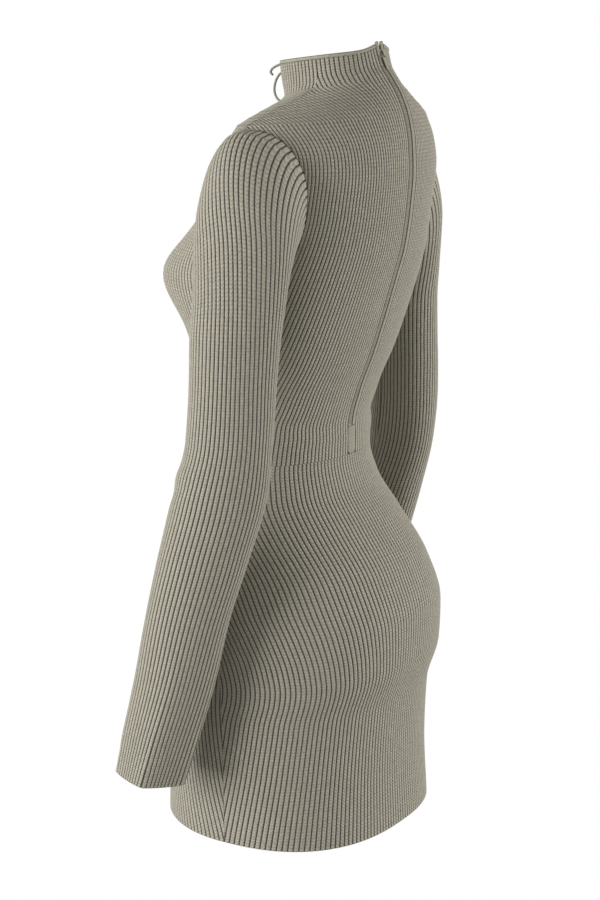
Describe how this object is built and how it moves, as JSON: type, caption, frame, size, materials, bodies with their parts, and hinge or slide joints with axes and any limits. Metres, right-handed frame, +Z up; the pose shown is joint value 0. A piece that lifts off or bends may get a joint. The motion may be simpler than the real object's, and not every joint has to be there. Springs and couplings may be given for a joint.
{
  "type": "sweater dress",
  "caption": "Rib-knit mini dress, worn shape: high collar, long set-in sleeves, waist seam, centre-back zip and a laced slit at the front neck.",
  "frame": {"origin": "level with the neck ends of the shoulder seams, midway between them, where the dress hangs from the wearer's shoulders", "axes": "+Z up, -Y out of the front, +X towards the wearer's left"},
  "size_m": [0.5024, 0.2697, 0.8282],
  "materials": {
    "rib_knit": "matte rib knit",
    "smooth_knit": "matte fine knit",
    "zip_tape": "woven tape",
    "zip_teeth": "moulded coil",
    "zip_enamel": "enamelled"
  },
  "bodies": {
    "dress": {"back_left": "rib_knit", "back_right": "rib_knit", "front": "rib_knit", "skirt_back": "rib_knit", "skirt_front": "rib_knit", "sleeve_left": "rib_knit", "sleeve_right": "rib_knit", "collar_binding_left": "smooth_knit", "collar_binding_right": "smooth_knit", "zip_band_left": "smooth_knit", "zip_band_right": "smooth_knit", "zip_end_tab": "smooth_knit", "lace": "smooth_knit", "zip_tape": "zip_tape", "zip_teeth": "zip_teeth", "zip_slider": "zip_enamel"},
    "pull_tab": {"pull_tab": "zip_enamel"}
  },
  "joints": [
    {"name": "pull_tab_swing", "type": "hinge", "parent": "dress", "child": "pull_tab", "pos_m": [0, 0.03514, 0.04097], "axis": [1, 0, 0], "range_deg": [0, 140]}
  ]
}
